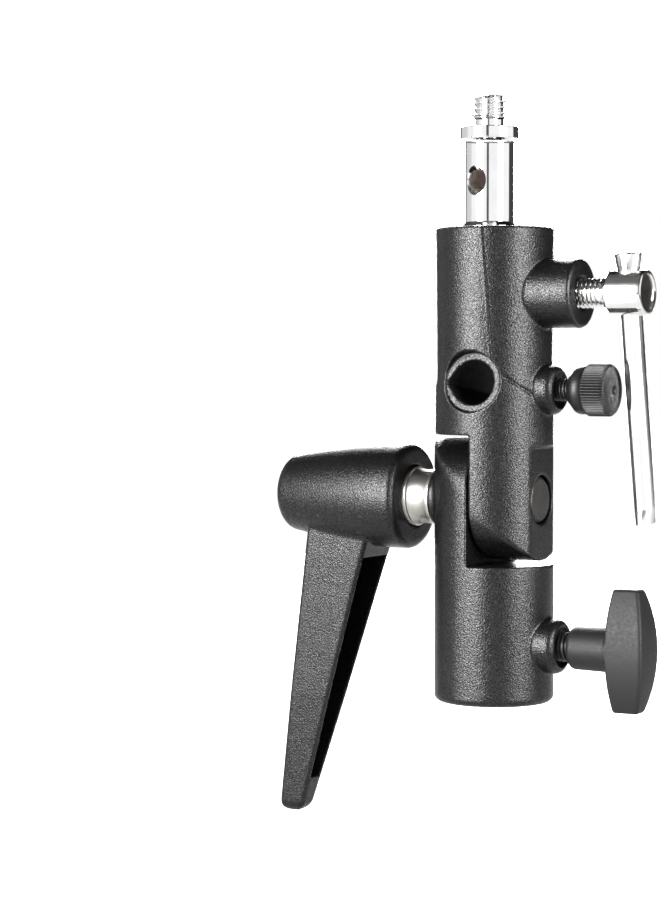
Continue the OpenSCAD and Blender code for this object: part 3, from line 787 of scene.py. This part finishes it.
def make_clamp_nut():
    """Waisted collar, splines and sleeve as one ring: its section runs out outside and back inside."""
    spline_r, splines, sleeve_r, far_end = 7.8, 24, 6.0, -40.0
    outer = [(-16.54, 7.6), (-16.75, 7.95), (-17.1, 7.95), (-17.9, 7.72)]
    outer += [(-19.0, 7.52), (-20.3, 7.45), (-21.6, 7.52), (-22.9, 7.8), (-23.15, 7.9), (-23.3, 8.25)]
    outer += [(-23.5, 8.35), (-27.3, 8.35), (-27.3, 7.1), (-27.6, 7.1), (-27.65, spline_r)]
    outer += [(-31.35, spline_r), (-31.4, 7.1), (-31.4, sleeve_r), (-39.6, sleeve_r), (far_end, 5.6)]
    inner = [(far_end, 2.55), (-30.0, 2.55), (-30.0, 4.05), (-17.56, 4.05), (-17.56, 6.65), (-16.54, 6.65)]

    def shape(s, r, angle):
        if r > 7.5 and s < -27.5:
            return r - 0.7 * (np.abs((angle * splines / (2 * math.pi)) % 1 - 0.5) < 0.27)
        return r

    rows = list(reversed(outer + inner))
    piece = turned("waisted_nut", rows, along_x(PIVOT_Z), shape, 192, ring=True)
    sharpen(piece, 30)
    settle_piece(piece, "nut", "plated", "clamp_nut")
    paint(piece, brushed)


def keep_cad_pieces():
    """The pieces whose CAD shape is right keep it, and only take a material."""
    looks = {
        "friction_disc": black_steel,
        "seat_washer": nickel,
        "retaining_screw": steel,
        "retaining_washer": steel,
        "lever_spring": steel,
        "pivot_bolt": black_steel,
        "t_tip": brass,
        "thumb_tip": brass,
        "wing_tip": brass,
    }
    for name, material in looks.items():
        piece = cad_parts[name]
        if not piece.material_slots:
            piece.data.materials.append(material)
        for slot in piece.material_slots:
            slot.link = "OBJECT"
            slot.material = material


# ------------------------------------------------------------ studio


def soft_box(name, turn, height, wide, tall, radiance):
    """Area light 0.9 m off, aimed at the object. turn is in degrees from the camera's side, to its right."""
    reach = 0.9
    heading = math.radians(CAMERA_TURN + turn)
    data = bpy.data.lights.new(name, "AREA")
    data.shape = "RECTANGLE"
    data.size = wide
    data.size_y = tall
    data.energy = radiance * math.pi * wide * tall
    light = bpy.data.objects.new(name, data)
    light.location = (reach * math.sin(heading), -reach * math.cos(heading), height)
    light.visible_camera = False
    bpy.context.scene.collection.objects.link(light)
    light.rotation_euler = (Vector((0, 0, 0.07)) - light.location).to_track_quat("-Z", "Y").to_euler()


def studio_world():
    """White to the camera. To the object it is a white studio with dark flags.

    A narrow flag on the camera's side gives plated pieces their dark line. Wide ones behind darken the edges.
    """
    world = bpy.data.worlds.new("studio")
    bpy.context.scene.world = world
    world.use_nodes = True
    tree = world.node_tree
    link = tree.links.new

    def math_node(operation, source):
        node = tree.nodes.new("ShaderNodeMath")
        node.operation = operation
        link(source, node.inputs[0])
        return node

    def range_node(source, *ends):
        node = tree.nodes.new("ShaderNodeMapRange")
        for key, value in zip(("From Min", "From Max", "To Min", "To Max"), ends):
            node.inputs[key].default_value = value
        link(source, node.inputs["Value"])
        return node.outputs["Result"]

    place = tree.nodes.new("ShaderNodeTexCoord")
    turn = tree.nodes.new("ShaderNodeVectorRotate")
    turn.rotation_type = "Z_AXIS"
    turn.inputs["Angle"].default_value = math.radians(-CAMERA_TURN)
    link(place.outputs["Generated"], turn.inputs["Vector"])
    split = tree.nodes.new("ShaderNodeSeparateXYZ")
    link(turn.outputs["Vector"], split.inputs[0])
    back = math_node("MULTIPLY", split.outputs["Y"])
    back.inputs[1].default_value = -1
    across = math_node("ARCTAN2", split.outputs["X"])
    link(back.outputs[0], across.inputs[1])

    # Brightness of the wall at each heading, in degrees to the right of the camera's side
    stops = [(-180, 0.1), (-146, 0.1), (-140, 0.6), (-100, 0.7), (-90, 0.95), (-14, 0.95), (-12, 0.08)]
    stops += [(-4, 0.08), (-2, 0.95), (104, 0.95), (108, 0.05), (150, 0.06), (180, 0.1)]
    walls = tree.nodes.new("ShaderNodeValToRGB")
    while len(walls.color_ramp.elements) < len(stops):
        walls.color_ramp.elements.new(0.5)
    for element, (degrees, brightness) in zip(walls.color_ramp.elements, stops):
        element.position = (degrees + 180) / 360
        element.color = (brightness, brightness, brightness, 1)
    link(range_node(across.outputs[0], -math.pi, math.pi, 0, 1), walls.inputs["Fac"])

    # The walls fade out towards straight up and straight down
    lit = tree.nodes["Background"]
    steepness = math_node("ABSOLUTE", split.outputs["Z"])
    link(range_node(steepness.outputs[0], 0.4, 0.7, 1.05, 0.15), lit.inputs["Strength"])
    link(walls.outputs["Color"], lit.inputs["Color"])

    seen = tree.nodes.new("ShaderNodeBackground")
    seen.inputs["Color"].default_value = (1, 1, 1, 1)
    ray = tree.nodes.new("ShaderNodeLightPath")
    pick = tree.nodes.new("ShaderNodeMixShader")
    link(ray.outputs["Is Camera Ray"], pick.inputs[0])
    link(lit.outputs[0], pick.inputs[1])
    link(seen.outputs[0], pick.inputs[2])
    link(pick.outputs[0], tree.nodes["World Output"].inputs["Surface"])


def make_camera():
    """Stands 0.67 m off, a little above the object's middle."""
    turn, reach, height = math.radians(CAMERA_TURN), 0.67, 0.095
    data = bpy.data.cameras.new("camera")
    data.lens = 97.8
    data.sensor_width = 36
    data.clip_start = 0.01
    camera = bpy.data.objects.new("camera", data)
    camera.location = (reach * math.sin(turn), -reach * math.cos(turn), height)
    pan, pitch = math.radians(3.85), math.radians(-2.25)
    camera.rotation_euler = (math.pi / 2 + pitch, 0, turn + pan)
    bpy.context.scene.collection.objects.link(camera)
    bpy.context.scene.camera = camera


def make_studio():
    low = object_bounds()[0]
    floor_z = low[2] - 0.0005
    bpy.ops.mesh.primitive_plane_add(size=6, location=(0, 0, floor_z))
    floor = bpy.context.object
    floor.name = "floor"
    m = Nodes("pale_floor")
    pale = [(0.3, (0.42, 0.42, 0.42)), (0.7, (0.45, 0.45, 0.45))]
    m.drive(m.colours(m.noise(8), pale), "Base Color")
    m.drive(m.between(m.noise(30), 0.3, 0.7, 0.7, 0.8), "Roughness")
    paint(floor, m.material)
    m.set(Emission_Color=(1, 1, 1, 1))
    seen = m.add("ShaderNodeLightPath").outputs["Is Camera Ray"]
    m.drive(m.between(seen, 0, 1, 0.0, 0.95), "Emission Strength")
    studio_world()
    soft_box("left_box", -47, 0.12, 0.46, 0.9, 34)
    soft_box("right_box", 54, 0.12, 0.36, 0.9, 26)
    soft_box("back_box", 180, 0.2, 0.4, 0.9, 26)
    bpy.context.scene.view_settings.view_transform = "Standard"


make_camera()
make_castings()
make_wing_knob()
make_spigot()
make_t_screw()
make_t_bar()
make_thumb_knob()
make_screws()
make_clamp_nut()
keep_cad_pieces()
make_studio()
